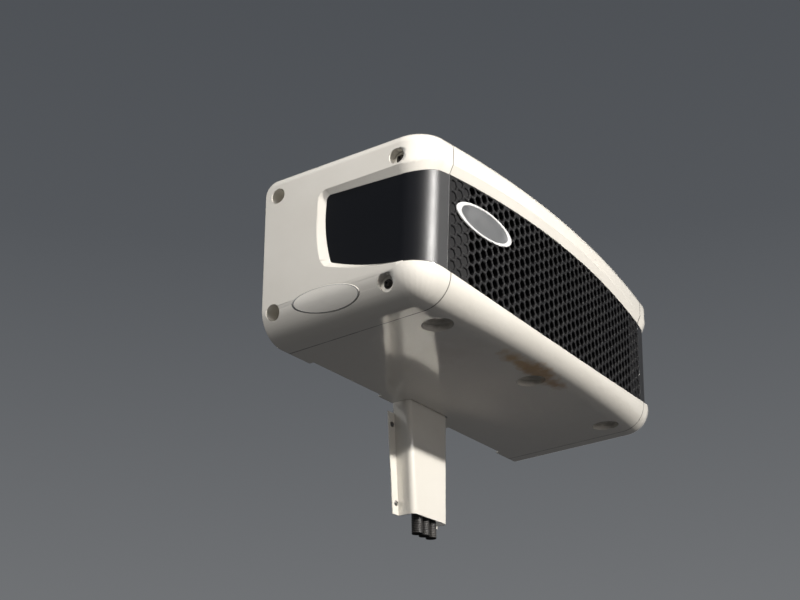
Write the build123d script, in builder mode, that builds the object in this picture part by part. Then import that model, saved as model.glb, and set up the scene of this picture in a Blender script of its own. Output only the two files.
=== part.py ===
from build123d import *
import os
from math import cos, radians, sqrt

# A nose-mounted condensing unit of a truck refrigeration system. It hangs on the front
# wall of the box. The origin is the middle of its bolt pattern on that wall, X runs
# along the wall, Y goes into it and Z is up, so the front faces -Y.

os.makedirs("parts", exist_ok=True)

# Driving dimensions of the cover, in millimetres
width = 1316
depth = 492                 # wall to the middle of the front, at mid height
top_z = 214
wall_bottom_z = -213        # underside where it meets the wall
underside_rise = 0.045      # the underside climbs towards the front
front_bow_radius = 5900
front_lean = 0.06           # the front leans out towards the top
corner_radius = 82          # in plan
top_round = 28
crown = 26                  # the brow over the band stands this much over the top cover
bottom_round = 76
skin = 4                    # thickness of the moulded shells
touch = 0.01
touch_above = 5
seam_x = 551                # where the end caps meet the middle pieces
seam_gap = 1.2

# The black band that wraps round the front
panel_inset = 10
panel_skin = 3
band_top_middle = 158
band_top_seam = 133
band_top_side = 111
band_bottom_middle = -137
band_bottom_seam = -113
window_rear_top_y = -184
window_rear_low_y = -194
window_rear_z = -60
window_bend_y = -392        # where the band starts to turn round the corner
band_bottom_bend = -109
window_rear_slope = 0.42
window_bend_slope = 0.08
window_round = 10
window_overlap = 1
seam_top_slope = -0.117     # the band's edges at the seams, seen along the corner's diagonal
seam_low_slope = -0.117
corner_overlap = 15
behind_front = 350          # a plane inside the cover, and lengths that reach past it
beyond_front = 60
beyond_side = 200
rim_width = 30
rim_depth = 16
bevel_top = 22              # widths of the bevel round the band, on the cover's face
bevel_rear = 22
bevel_low = 6
flare_shares = (-0.2, 1.2)  # the flare starts a little below the panel and ends outside

# Honeycomb
cell_pitch = 29.3
cell_web = 7.5
cell_shift_z = 10
grille_thickness = 12
grille_border = 4
open_half_width = 468       # open cells end here, closed ones go on to the seam
closed_depth = 3

# Blank oval plate on the grille
badge_x = -405
badge_z = 59
badge_length = 235
badge_height = 75
badge_thickness = 4

# Screw pockets of the end caps: distance from the wall, height, depth
pockets = [
    (-38, 160, 52),
    (-31, -149, 52),
    (-386, 157, 24),
    (-347, -151, 24),
]
pocket_radius = 20
pocket_wall = 3

# Seams and cut-outs of the middle pieces
beam_rear_y = -398
recess_xs = (-465, 0, 465)
recess_y = -368
recess_radius = 38
pan_cut_below = 20          # cuts through the pan start this far under it
pan_cut_height = 60
cup_reach = 40
notch_centres = (-320, 320)
notch_length = 300
notch_depth = 12

# Back plate, its bolts and the seal round it
frame_half_width = 600
back_thickness = 4
back_corner = 20
back_top_z = 188
back_bottom_z = -190
bolt_spacing_x = 960
bolt_spacing_z = 300
bolt_hole_radius = 6.5
seal_thickness = 10
seal_gap_half = 480

# Frame
plate = 3
rail_half_width = 520
rail_front_y = -415
rail_rear_y = -345
rail_bottom_z = -178
web_top_z = 165
web_bottom_z = -176
web_front_y = -436
web_low_y = -405
web_knee_z = -140
web_round = 8
lug_rear_x = 598
lug_size = 20

# Condenser coil
coil_half_width = 470
coil_front_y = -442
coil_thickness = 44
coil_bottom_z = -148
coil_top_z = 165

# Fans, motors and guards
fan_x = 235
fan_y = -205
outlet_radius = 165
ring_radius = 168
fan_blades = 6
fan_bottom_z = 128
fan_top_z = 176
hub_radius = 48
hub_round = 6
blade_sections = [          # distance from the axis, chord, angle to the plane of the fan
    (44, 62, 38),
    (158, 112, 20),
]
blade_camber = 9
blade_thickness = 3
shaft_radius = 6
shaft_play = 0.4
shaft_depth = 20
shaft_end_play = 4
shaft_hole_radius = 11      # in the motor straps
motor_radius = 46
motor_bottom_z = 38
motor_top_z = 117
motor_round = 8
deck_z = 120
strap_offset = 28
strap_width = 18
strap_reach = 180
wire = 3
guard_rings = (60, 95, 130)
guard_radius = 177
guard_inner_radius = 167

# Pressure vessels, electrical box and pipes
box_x = -415
box_z = 0
box_width = 170
box_height = 120
box_depth = 90
box_round = 8
line_y = -85
line_z = -120
receiver_start_x = 230
receiver_end_x = 480
receiver_radius = 42
drier_start_x = 75
drier_end_x = 200
drier_radius = 30
vessel_round_share = 0.4
bracket_xs = (260, 420)
bracket_height = 30
bracket_length = 20
sheet_pipe_x = 498
discharge_y = -70
discharge_z = -90
discharge_inlet_z = 120
discharge_radius = 8
discharge_bend = 20
liquid_radius = 6
liquid_bend = 14
conduit_radius = 9
conduit_bend = 22
pipe_hole_radius = 11

# Hose cover on the wall below, and the hose ends in it
cover_top_z = -190          # meets the lower edge of the back plate
cover_flange_top_z = -241
cover_bottom_z = -517
cover_depth = 52
cover_half_top = 100
cover_half_bottom = 83
cover_flange = 27
cover_sheet = 2.5
cover_corner = 14
cover_play = 4
hose_radius = 15
hose_step = 34
hose_y = -28
hose_top_z = -225
hose_bottom_z = -560
fitting_length = 30


def front_y(x, z, inset=0):
    """Y of the front face at one place, drawn in by inset."""
    radius = front_bow_radius - inset
    return -(depth - inset + front_lean * z) + radius - sqrt(radius**2 - x**2)


def hull(inset):
    """The closed outer form of the cover, drawn in by inset on every side but the back."""
    base_z = wall_bottom_z - beyond_front
    half = width / 2 - inset
    reach = top_z + crown - inset - base_z
    ends_z, crest_z = top_z - inset, top_z + crown - inset
    rear_part = (Align.CENTER, Align.MIN, Align.MIN)
    with BuildPart() as form:
        with BuildSketch(Plane.XY.offset(base_z)):
            with BuildLine():
                edge_y = front_y(half, base_z, inset)
                Polyline((-half, edge_y), (-half, beyond_front), (half, beyond_front), (half, edge_y))
                ThreePointArc((half, edge_y), (0, front_y(0, base_z, inset)), (-half, edge_y))
            face = make_face()
            fillet(face.vertices().group_by(Axis.Y)[0], corner_radius - inset)
        extrude(amount=reach * sqrt(1 + front_lean**2), dir=(0, -front_lean, 1))
        split(bisect_by=Plane.XZ, keep=Keep.TOP)
        floor = Plane((0, 0, wall_bottom_z + inset), z_dir=(0, underside_rise, 1))
        split(bisect_by=floor, keep=Keep.TOP)
        with BuildSketch(Plane.XZ.offset(depth + beyond_front)):
            with BuildLine():
                ThreePointArc((-width / 2, ends_z), (0, crest_z), (width / 2, ends_z))
                Polyline(
                    (width / 2, ends_z), (width / 2, crest_z + 1),
                    (-width / 2, crest_z + 1), (-width / 2, ends_z),
                )
            make_face()
        extrude(amount=-(depth + 2 * beyond_front), mode=Mode.SUBTRACT)
        top_edges = form.faces().sort_by(Axis.Z)[-1].edges().filter_by(
            lambda e: e.center().Y < -1)
        fillet(top_edges, top_round - inset)
        low_edges = form.faces().sort_by(Axis.Z)[0].edges().filter_by(
            lambda e: e.center().Y < -1)
        fillet(low_edges, bottom_round - inset)
        with Locations((0, beam_rear_y - inset, top_z - inset)):
            Box(width, 2 * depth, 2 * crown, align=rear_part, mode=Mode.SUBTRACT)
    return form.part


def front_outline(grow):
    """The middle stretch of the band, in X and Z, widened by grow above and below."""
    top_mid, top_end = band_top_middle + grow, band_top_seam + grow
    low_mid, low_end = band_bottom_middle - grow, band_bottom_seam - grow
    with BuildSketch(Plane.XZ.offset(behind_front)) as outline:
        with BuildLine():
            ThreePointArc((-seam_x, top_end), (0, top_mid), (seam_x, top_end))
            Line((seam_x, top_end), (seam_x, low_end))
            ThreePointArc((seam_x, low_end), (0, low_mid), (-seam_x, low_end))
            Line((-seam_x, low_end), (-seam_x, top_end))
        make_face()
    return outline.sketch


def corner_outline(grow):
    """The stretch of the band round the right corner, on an upright plane that faces its diagonal."""
    start = Vector(seam_x, front_y(seam_x, band_top_seam), 0)
    top_end, low_end = band_top_seam + grow, band_bottom_seam - grow
    top_bend, low_bend = band_top_side + grow, band_bottom_bend - grow
    low_start = (front_y(seam_x, band_bottom_seam) - start.Y) / sqrt(2)
    bend = (width / 2 - start.X + window_bend_y - start.Y) / sqrt(2)
    past = bend + corner_overlap
    facing = Plane(origin=start, x_dir=(1, 1, 0), z_dir=(1, -1, 0))
    with BuildSketch(facing) as outline:
        with BuildLine():
            Polyline(
                (low_start, low_end), (-corner_overlap, low_end), (-corner_overlap, top_end), (0, top_end),
            )
            Spline((0, top_end), (bend, top_bend), tangents=((1, seam_top_slope), (1, 0)))
            Polyline((bend, top_bend), (past, top_bend), (past, low_bend), (bend, low_bend))
            Spline((bend, low_bend), (low_start, low_end), tangents=((-1, 0), (-1, seam_low_slope)))
        make_face()
    return outline.sketch


def side_outline(x, top_grow, rear_grow, low_grow):
    """The stretch of the band along a side, in Y and Z, with rounded rear corners."""
    rear_top_y, rear_low_y = window_rear_top_y + rear_grow, window_rear_low_y + rear_grow
    high_z = band_top_side + top_grow
    low_z, bend_low_z = window_rear_z - low_grow, band_bottom_bend - low_grow
    front_y_end = window_bend_y - window_overlap
    with BuildSketch(Plane.YZ.offset(x)) as outline:
        with BuildLine():
            Polyline(
                (rear_low_y, low_z), (rear_top_y, high_z),
                (front_y_end, high_z), (front_y_end, bend_low_z),
            )
            Spline(
                (front_y_end, bend_low_z), (rear_low_y, low_z),
                tangents=((1, window_bend_slope), (1, window_rear_slope)),
            )
        make_face()
        rear_corners = outline.vertices().filter_by(lambda v: v.X > window_bend_y / 2)
        fillet(rear_corners, window_round + rear_grow / 2)
    return outline.sketch


def side_window(side, grow):
    """The solid that cuts one side's stretch of the band, widened by grow."""
    with BuildPart() as cutter:
        extrude(side_outline(side * seam_x, grow, grow, grow), amount=side * beyond_side)
    return cutter.part


def side_flare(side):
    """The cut that gives a side window its bevel, from the panel's face out past the cover's."""
    with BuildPart() as cutter:
        for share in flare_shares:
            x = side * (width / 2 - panel_inset * (1 - share))
            add(side_outline(x, share * bevel_top, share * bevel_rear, share * bevel_low))
        loft()
    return cutter.part


def low_flare():
    """The cut that gives the lower pan's front edge its bevel."""
    lines = []
    for share in flare_shares:
        end_x = seam_x + window_overlap
        drop = share * bevel_low
        inset = panel_inset * (1 - share)
        middle = (0, front_y(0, band_bottom_middle, inset), band_bottom_middle - drop)
        end_y = front_y(end_x, band_bottom_seam, inset)
        end_z = band_bottom_seam - drop
        lines.append(Edge.make_three_point_arc((-end_x, end_y, end_z), middle, (end_x, end_y, end_z)))
    return extrude(Face.make_surface_from_curves(*lines), amount=beyond_front, dir=(0, -1, 0))


def band(grow):
    """The solid that cuts the band's opening round the front and the corners, widened by grow."""
    with BuildPart() as cutter:
        extrude(corner_outline(grow), amount=beyond_front, both=True)
        mirror(about=Plane.YZ)
        extrude(front_outline(grow), amount=beyond_side)
        split(bisect_by=Plane.XZ.offset(-window_bend_y), keep=Keep.TOP)
    return cutter.part


outer = hull(0)
front_band = band(0)

# The whole moulded cover, with a thick rim round the band, before it is cut at the seams
with BuildPart() as rim:
    add(band(rim_width))
    for side in (-1, 1):
        add(side_window(side, rim_width))
    add(outer, mode=Mode.INTERSECT)
    add(hull(rim_depth), mode=Mode.SUBTRACT)

with BuildPart() as cover:
    add(outer)
    add(hull(skin), mode=Mode.SUBTRACT)
    add(rim.part)
    add(front_band, mode=Mode.SUBTRACT)


def lip(piece, top):
    """The edges that the band's opening leaves on the outer face of a piece, at its top or bottom."""
    found = []
    for edge in piece.edges():
        point = edge @ 0.5
        on_cover = min(face.distance_to(point) for face in outer.faces()) < touch
        on_opening = min(face.distance_to(point) for face in front_band.faces()) < touch
        wanted = point.Z > band_top_side if top else point.Z < band_bottom_bend + touch_above
        if on_cover and on_opening and wanted:
            found.append(edge)
    return found


def export(piece, label):
    """Names a finished piece and writes its file."""
    piece.part.label = label
    export_step(piece.part, f"parts/{label}.step")


cap_x = seam_x + seam_gap / 2
middle_x = seam_x - seam_gap / 2

# End caps, with the bevel round their window and the cups in which their screws sit
with BuildPart() as left_end_cap:
    add(cover.part)
    split(bisect_by=Plane.YZ.offset(-cap_x), keep=Keep.BOTTOM)
    chamfer(lip(left_end_cap, True), length=bevel_top, length2=panel_inset)
    chamfer(lip(left_end_cap, False), length=bevel_low, length2=panel_inset)
    add(side_window(-1, 0), mode=Mode.SUBTRACT)
    add(side_flare(-1), mode=Mode.SUBTRACT)
    for y, z, pocket_depth in pockets:
        with BuildSketch(Plane.YZ.offset(-width / 2 - 1)):
            with Locations((y, z)):
                Circle(pocket_radius)
        extrude(amount=20, mode=Mode.SUBTRACT)
        with BuildPart(mode=Mode.PRIVATE) as cup:
            with BuildSketch(Plane.YZ.offset(-width / 2 - 1)):
                with Locations((y, z)):
                    Circle(pocket_radius + pocket_wall)
            extrude(amount=pocket_depth + 1)
            add(outer, mode=Mode.INTERSECT)
            with BuildSketch(Plane.YZ.offset(-width / 2 - 1)):
                with Locations((y, z)):
                    Circle(pocket_radius)
            extrude(amount=pocket_depth + 1 - pocket_wall, mode=Mode.SUBTRACT)
        add(cup.part)
export(left_end_cap, "left_end_cap")

with BuildPart() as right_end_cap:
    add(left_end_cap.part)
    mirror(about=Plane.YZ, mode=Mode.REPLACE)
export(right_end_cap, "right_end_cap")

# Middle pieces of the cover: front beam, top cover with the fan outlets, and lower pan
with BuildPart() as middle:
    add(cover.part)
    split(bisect_by=Plane.YZ.offset(-middle_x), keep=Keep.TOP)
    split(bisect_by=Plane.YZ.offset(middle_x), keep=Keep.BOTTOM)

with BuildPart() as front_top_beam:
    add(middle.part)
    split(bisect_by=Plane.XY, keep=Keep.TOP)
    split(bisect_by=Plane.XZ.offset(-beam_rear_y + seam_gap / 2), keep=Keep.TOP)
    chamfer(lip(front_top_beam, True), length=bevel_top, length2=panel_inset)
export(front_top_beam, "front_top_beam")

with BuildPart() as top_cover:
    add(middle.part)
    split(bisect_by=Plane.XY, keep=Keep.TOP)
    split(bisect_by=Plane.XZ.offset(-beam_rear_y - seam_gap / 2), keep=Keep.BOTTOM)
    with BuildSketch(Plane.XY.offset(top_z + 1)):
        with Locations((-fan_x, fan_y), (fan_x, fan_y)):
            Circle(outlet_radius)
    extrude(amount=-2 * skin, mode=Mode.SUBTRACT)
export(top_cover, "top_cover")

with BuildPart() as lower_pan:
    add(middle.part)
    split(bisect_by=Plane.XY, keep=Keep.BOTTOM)
    add(low_flare(), mode=Mode.SUBTRACT)
    with BuildSketch(Plane.XY.offset(wall_bottom_z - pan_cut_below)):
        with Locations((0, 0)):
            Rectangle(2 * (cover_half_top + cover_play), 2 * (cover_depth + cover_play))
            fillet(vertices(), cover_corner + cover_play)
        for centre in notch_centres:
            with Locations((centre, 0)):
                Rectangle(notch_length, 2 * notch_depth)
    extrude(amount=pan_cut_height, mode=Mode.SUBTRACT)
    with BuildSketch(Plane.XY.offset(wall_bottom_z - pan_cut_below)):
        with Locations(*[(x, recess_y) for x in recess_xs]):
            Circle(recess_radius)
    extrude(amount=pan_cut_height, mode=Mode.SUBTRACT)
    with BuildPart(mode=Mode.PRIVATE) as cups:
        with BuildSketch(Plane.XY.offset(rail_bottom_z)):
            with Locations(*[(x, recess_y) for x in recess_xs]):
                Circle(recess_radius + pocket_wall)
        extrude(amount=-cup_reach)
        add(outer, mode=Mode.INTERSECT)
        with BuildSketch(Plane.XY.offset(rail_bottom_z - pocket_wall)):
            with Locations(*[(x, recess_y) for x in recess_xs]):
                Circle(recess_radius)
        extrude(amount=-cup_reach, mode=Mode.SUBTRACT)
    add(cups.part)
export(lower_pan, "lower_pan")

# Gloss panels that carry the band round the corners
with BuildPart() as left_corner_panel:
    add(hull(panel_inset))
    add(hull(panel_inset + panel_skin), mode=Mode.SUBTRACT)
    with BuildPart(mode=Mode.PRIVATE) as left_opening:
        add(front_band)
        add(side_window(-1, 0))
    add(left_opening.part, mode=Mode.INTERSECT)
    split(bisect_by=Plane.YZ.offset(-cap_x), keep=Keep.BOTTOM)
export(left_corner_panel, "left_corner_panel")

with BuildPart() as right_corner_panel:
    add(left_corner_panel.part)
    mirror(about=Plane.YZ, mode=Mode.REPLACE)
export(right_corner_panel, "right_corner_panel")

# Honeycomb grille: a bowed slab pierced by six-sided cells in staggered columns
column_step = cell_pitch * cos(radians(30))
columns = int(seam_x / column_step)
rows = int((band_top_middle - band_bottom_middle) / 2 / cell_pitch) + 1


def cell_field(first, last):
    """The outlines of the cells in the columns whose distance from the middle is in a range."""
    places = [
        (i * column_step, (j + (i % 2) / 2) * cell_pitch + cell_shift_z)
        for i in range(-columns, columns + 1)
        for j in range(-rows, rows + 1)
        if first <= abs(i * column_step) <= last
    ]
    with BuildSketch(Plane.XZ.offset(behind_front)) as field:
        with Locations(*places):
            RegularPolygon((cell_pitch - cell_web) / 2, 6, major_radius=False)
        with BuildSketch(mode=Mode.PRIVATE) as clear:
            Rectangle(2 * (middle_x - grille_border), 2 * band_top_middle)
        add(clear.sketch, mode=Mode.INTERSECT)
        add(front_outline(-grille_border), mode=Mode.INTERSECT)
    return field.sketch


with BuildPart() as honeycomb_grille:
    add(hull(panel_inset))
    add(hull(panel_inset + grille_thickness), mode=Mode.SUBTRACT)
    with BuildPart(mode=Mode.PRIVATE) as front_span:
        extrude(front_outline(0), amount=beyond_side)
        split(bisect_by=Plane.YZ.offset(-middle_x), keep=Keep.TOP)
        split(bisect_by=Plane.YZ.offset(middle_x), keep=Keep.BOTTOM)
    add(front_span.part, mode=Mode.INTERSECT)
    extrude(cell_field(0, open_half_width), amount=beyond_side, mode=Mode.SUBTRACT)
    with BuildPart(mode=Mode.PRIVATE) as closed_cells:
        extrude(cell_field(open_half_width, seam_x), amount=beyond_side)
        add(hull(panel_inset + closed_depth), mode=Mode.SUBTRACT)
    add(closed_cells.part, mode=Mode.SUBTRACT)
export(honeycomb_grille, "honeycomb_grille")

# Blank oval plate on the grille
with BuildPart() as oval_plate:
    add(hull(panel_inset - badge_thickness))
    add(hull(panel_inset), mode=Mode.SUBTRACT)
    with BuildPart(mode=Mode.PRIVATE) as oval_prism:
        with BuildSketch(Plane.XZ.offset(behind_front)):
            with Locations((badge_x, badge_z)):
                Ellipse(badge_length / 2, badge_height / 2)
        extrude(amount=beyond_side)
    add(oval_prism.part, mode=Mode.INTERSECT)
export(oval_plate, "blank_oval_plate")

# Back plate on the wall, with its bolt holes
with BuildPart() as back_plate:
    with BuildSketch(Plane.XZ):
        with Locations((0, (back_top_z + back_bottom_z) / 2)):
            Rectangle(2 * frame_half_width, back_top_z - back_bottom_z)
        fillet(vertices(), back_corner)
        with GridLocations(bolt_spacing_x, bolt_spacing_z, 2, 2):
            Circle(bolt_hole_radius, mode=Mode.SUBTRACT)
    extrude(amount=back_thickness)
export(back_plate, "back_plate")

# Rubber seal between the back plate's edge and the cover's skin, on the wall
with BuildPart() as wall_seal:
    add(hull(skin))
    split(bisect_by=Plane.XZ.offset(seal_thickness), keep=Keep.BOTTOM)
    with BuildSketch(Plane.XZ):
        with Locations((0, (back_top_z + back_bottom_z) / 2)):
            Rectangle(2 * frame_half_width, back_top_z - back_bottom_z)
        fillet(vertices(), back_corner)
    extrude(amount=beyond_front, mode=Mode.SUBTRACT)
    with BuildSketch(Plane.XZ):
        with Locations((0, wall_bottom_z)):
            Rectangle(2 * seal_gap_half, 2 * (back_bottom_z - wall_bottom_z))
        for side in (-1, 1):
            for y, z, pocket_depth in pockets:
                with Locations((side * width / 2, z)):
                    Rectangle(2 * (pocket_depth + 2), 2 * (pocket_radius + pocket_wall + 1))
    extrude(amount=beyond_front, mode=Mode.SUBTRACT)
export(wall_seal, "wall_seal")

# Side frames, each a web with lugs that reach out to the cap screws
for name, side in (("left_side_frame", -1), ("right_side_frame", 1)):
    with BuildPart() as side_frame:
        with BuildSketch(Plane.YZ.offset(side * rail_half_width)):
            with BuildLine():
                Polyline(
                    (-back_thickness, web_bottom_z), (web_low_y, web_bottom_z),
                    (web_front_y, web_knee_z), (web_front_y, web_top_z),
                    (-back_thickness, web_top_z), close=True,
                )
            make_face()
            fillet(vertices().filter_by(lambda v: v.X < web_low_y / 2), web_round)
        extrude(amount=side * plate)
        with BuildSketch(Plane.XZ.offset(back_thickness)):
            with Locations((side * (rail_half_width + lug_rear_x) / 2, 0)):
                Rectangle(lug_rear_x - rail_half_width, web_top_z - web_bottom_z)
        extrude(amount=plate)
        for y, z, pocket_depth in pockets:
            reach = width / 2 - pocket_depth
            with Locations((side * (rail_half_width + reach) / 2, y, z)):
                Box(reach - rail_half_width, lug_size, lug_size)
    export(side_frame, name)

# Rails across the front, which carry the coil, the beam and the lower pan
coil_rear_y = coil_front_y + coil_thickness
for name, half, front, rear, low, high in (
    ("front_rail", rail_half_width, rail_front_y, rail_rear_y, rail_bottom_z, coil_bottom_z),
    ("top_rail", coil_half_width + plate, coil_front_y, coil_rear_y, coil_top_z, top_z - skin),
):
    with BuildPart() as rail:
        with BuildSketch(Plane.YZ.offset(-half)):
            with Locations(((front + rear) / 2, (low + high) / 2)):
                Rectangle(rear - front, high - low)
                Rectangle(rear - front - 2 * plate, high - low - 2 * plate, mode=Mode.SUBTRACT)
        extrude(amount=2 * half)
    export(rail, name)

# Condenser coil between its two tube sheets
with BuildPart() as condenser_coil:
    with BuildSketch(Plane.XZ.offset(-coil_rear_y)):
        with Locations((0, (coil_top_z + coil_bottom_z) / 2)):
            Rectangle(2 * coil_half_width, coil_top_z - coil_bottom_z)
    extrude(amount=coil_thickness)
export(condenser_coil, "condenser_coil")

for name, side, sheet_pipe_z in (("left_tube_sheet", -1, discharge_z), ("right_tube_sheet", 1, line_z)):
    with BuildPart() as tube_sheet:
        with BuildSketch(Plane.XY.offset(coil_bottom_z)):
            with Locations((side * (coil_half_width + plate / 2), coil_front_y + coil_thickness / 2)):
                Rectangle(plate, coil_thickness)
            with Locations((side * (coil_half_width + rail_half_width) / 2, coil_rear_y - plate / 2)):
                Rectangle(rail_half_width - coil_half_width, plate)
        extrude(amount=coil_top_z - coil_bottom_z)
        with BuildSketch(Plane.XZ.offset(-coil_rear_y)):
            with Locations((side * sheet_pipe_x, sheet_pipe_z)):
                Circle(pipe_hole_radius)
        extrude(amount=plate, mode=Mode.SUBTRACT)
    export(tube_sheet, name)

# Fan deck: a plate with two rings that lead the air up to the outlets
with BuildPart() as fan_deck:
    with BuildSketch(Plane.XY.offset(deck_z)):
        with Locations((0, (coil_rear_y - back_thickness) / 2)):
            Rectangle(2 * rail_half_width, -coil_rear_y - back_thickness)
        with Locations((-fan_x, fan_y), (fan_x, fan_y)):
            Circle(ring_radius, mode=Mode.SUBTRACT)
    extrude(amount=plate)
    with BuildSketch(Plane.XY.offset(deck_z)):
        with Locations((-fan_x, fan_y), (fan_x, fan_y)):
            Circle(ring_radius + plate)
            Circle(ring_radius, mode=Mode.SUBTRACT)
    extrude(amount=top_z - skin - deck_z)
export(fan_deck, "fan_deck")

# Fans with twisted blades, their motors, straps and guards
for name, side in (("left", -1), ("right", 1)):
    centre = side * fan_x
    with BuildPart() as fan:
        with BuildSketch(Plane.XY.offset(fan_bottom_z)):
            with Locations((centre, fan_y)):
                Circle(hub_radius)
        extrude(amount=fan_top_z - fan_bottom_z)
        fillet(fan.faces().sort_by(Axis.Z)[-1].edges(), hub_round)
        with BuildSketch(Plane.XY.offset(fan_bottom_z)):
            with Locations((centre, fan_y)):
                Circle(shaft_radius)
        extrude(amount=motor_top_z - shaft_depth - fan_bottom_z)
        for k in range(fan_blades):
            spin = Rotation(0, 0, k * 360 / fan_blades)
            with BuildPart(mode=Mode.PRIVATE) as blade:
                for radius, chord, pitch_angle in blade_sections:
                    middle_z = (fan_bottom_z + fan_top_z) / 2
                    half = chord / 2
                    across = Plane(origin=(radius, 0, middle_z), x_dir=(0, 1, 0), z_dir=(1, 0, 0))
                    with BuildSketch(across):
                        with BuildLine(Plane.XY.rotated((0, 0, pitch_angle))):
                            ThreePointArc((-half, 0), (0, blade_camber), (half, 0))
                            ThreePointArc((-half, 0), (0, blade_camber + blade_thickness), (half, 0))
                        make_face()
                loft()
            add(Pos(centre, fan_y, 0) * spin * blade.part)
    export(fan, f"{name}_condenser_fan")

    with BuildPart() as motor:
        with BuildSketch(Plane.XY.offset(motor_bottom_z)):
            with Locations((centre, fan_y)):
                Circle(motor_radius)
        extrude(amount=motor_top_z - motor_bottom_z)
        fillet(motor.faces().sort_by(Axis.Z)[0].edges(), motor_round)
        with BuildSketch(Plane.XY.offset(motor_top_z)):
            with Locations((centre, fan_y)):
                Circle(shaft_radius + shaft_play)
        extrude(amount=-(shaft_depth + shaft_end_play), mode=Mode.SUBTRACT)
    export(motor, f"{name}_fan_motor")

    with BuildPart() as straps:
        with BuildSketch(Plane.XY.offset(motor_top_z)):
            for off in (-strap_offset, strap_offset):
                with Locations((centre + off, fan_y)):
                    Rectangle(strap_width, 2 * strap_reach)
            with Locations((centre, fan_y)):
                Circle(motor_radius)
                Circle(shaft_hole_radius, mode=Mode.SUBTRACT)
        extrude(amount=deck_z - motor_top_z)
    export(straps, f"{name}_motor_straps")

    with BuildPart() as guard:
        with BuildSketch(Plane.XY.offset(top_z)):
            with Locations((centre, fan_y)):
                Circle(guard_radius)
                Circle(guard_inner_radius, mode=Mode.SUBTRACT)
        extrude(amount=wire)
        with BuildSketch(Plane.XY.offset(top_z + wire)):
            with Locations((centre, fan_y)):
                for radius in guard_rings:
                    with BuildSketch(mode=Mode.PRIVATE) as ring:
                        Circle(radius + wire / 2)
                        Circle(radius - wire / 2, mode=Mode.SUBTRACT)
                    add(ring.sketch)
                Rectangle(2 * guard_radius, wire)
                Rectangle(wire, 2 * guard_radius)
        extrude(amount=wire)
    export(guard, f"{name}_fan_guard")

# Electrical box, receiver and drier on the back plate
with BuildPart() as electrical_box:
    with Locations((box_x, -back_thickness - box_depth / 2, box_z)):
        Box(box_width, box_depth, box_height)
    fillet(electrical_box.edges().filter_by(Axis.Y), box_round)
export(electrical_box, "electrical_box")

for name, start_x, end_x, radius in (
    ("receiver_tank", receiver_start_x, receiver_end_x, receiver_radius),
    ("filter_drier", drier_start_x, drier_end_x, drier_radius),
):
    with BuildPart() as vessel:
        with BuildSketch(Plane.YZ.offset(start_x)):
            with Locations((line_y, line_z)):
                Circle(radius)
        extrude(amount=end_x - start_x)
        fillet(vessel.edges().filter_by(GeomType.CIRCLE), radius * vessel_round_share)
    export(vessel, name)

for name, x in (("left_receiver_bracket", bracket_xs[0]), ("right_receiver_bracket", bracket_xs[1])):
    with BuildPart() as vessel_bracket:
        with BuildSketch(Plane.YZ.offset(x)):
            with Locations((line_y, line_z)):
                Circle(receiver_radius + plate)
            with Locations(((line_y - back_thickness) / 2, line_z)):
                Rectangle(-line_y - back_thickness, bracket_height)
            with Locations((line_y, line_z)):
                Circle(receiver_radius, mode=Mode.SUBTRACT)
        extrude(amount=bracket_length)
    export(vessel_bracket, name)


def pipe(label, radius, bend, *points):
    """A tube along straight runs joined by tangent arcs."""
    with BuildPart() as tube:
        with BuildLine() as route:
            if len(points) > 2:
                FilletPolyline(*points, radius=bend)
            else:
                Line(*points)
        with BuildSketch(Plane(origin=route.line @ 0, z_dir=route.line % 0)):
            Circle(radius)
        sweep()
    export(tube, label)


fitting_top_z = hose_top_z + fitting_length
coil_middle_y = coil_front_y + coil_thickness / 2
pipe(
    "discharge_pipe", discharge_radius, discharge_bend,
    (-hose_step, hose_y, fitting_top_z), (-hose_step, hose_y, discharge_z),
    (-hose_step, discharge_y, discharge_z), (-sheet_pipe_x, discharge_y, discharge_z),
    (-sheet_pipe_x, coil_middle_y, discharge_z), (-sheet_pipe_x, coil_middle_y, discharge_inlet_z),
    (-coil_half_width - plate, coil_middle_y, discharge_inlet_z),
)
pipe(
    "condensate_pipe", liquid_radius, liquid_bend,
    (coil_half_width + plate, coil_middle_y, line_z), (sheet_pipe_x, coil_middle_y, line_z),
    (sheet_pipe_x, line_y, line_z), (receiver_end_x, line_y, line_z),
)
pipe(
    "drier_pipe", liquid_radius, liquid_bend,
    (drier_end_x, line_y, line_z), (receiver_start_x, line_y, line_z),
)
pipe(
    "liquid_pipe", liquid_radius, liquid_bend,
    (drier_start_x, line_y, line_z), (hose_step, line_y, line_z), (hose_step, hose_y, line_z),
    (hose_step, hose_y, fitting_top_z),
)
pipe(
    "wiring_conduit", conduit_radius, conduit_bend,
    (0, hose_y, fitting_top_z), (0, hose_y, box_z), (box_x + box_width / 2, hose_y, box_z),
)

# Hose ends that come up through the cover below
for name, x in (("left", -hose_step), ("middle", 0), ("right", hose_step)):
    with BuildPart() as fitting:
        with BuildSketch(Plane.XY.offset(hose_top_z)):
            with Locations((x, hose_y)):
                RegularPolygon(hose_radius, 6)
        extrude(amount=fitting_length)
    export(fitting, f"{name}_hose_fitting")

    with BuildPart() as hose:
        with BuildSketch(Plane.XY.offset(hose_top_z)):
            with Locations((x, hose_y)):
                Circle(hose_radius)
        extrude(amount=hose_bottom_z - hose_top_z)
    export(hose, f"{name}_hose_end")

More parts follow.
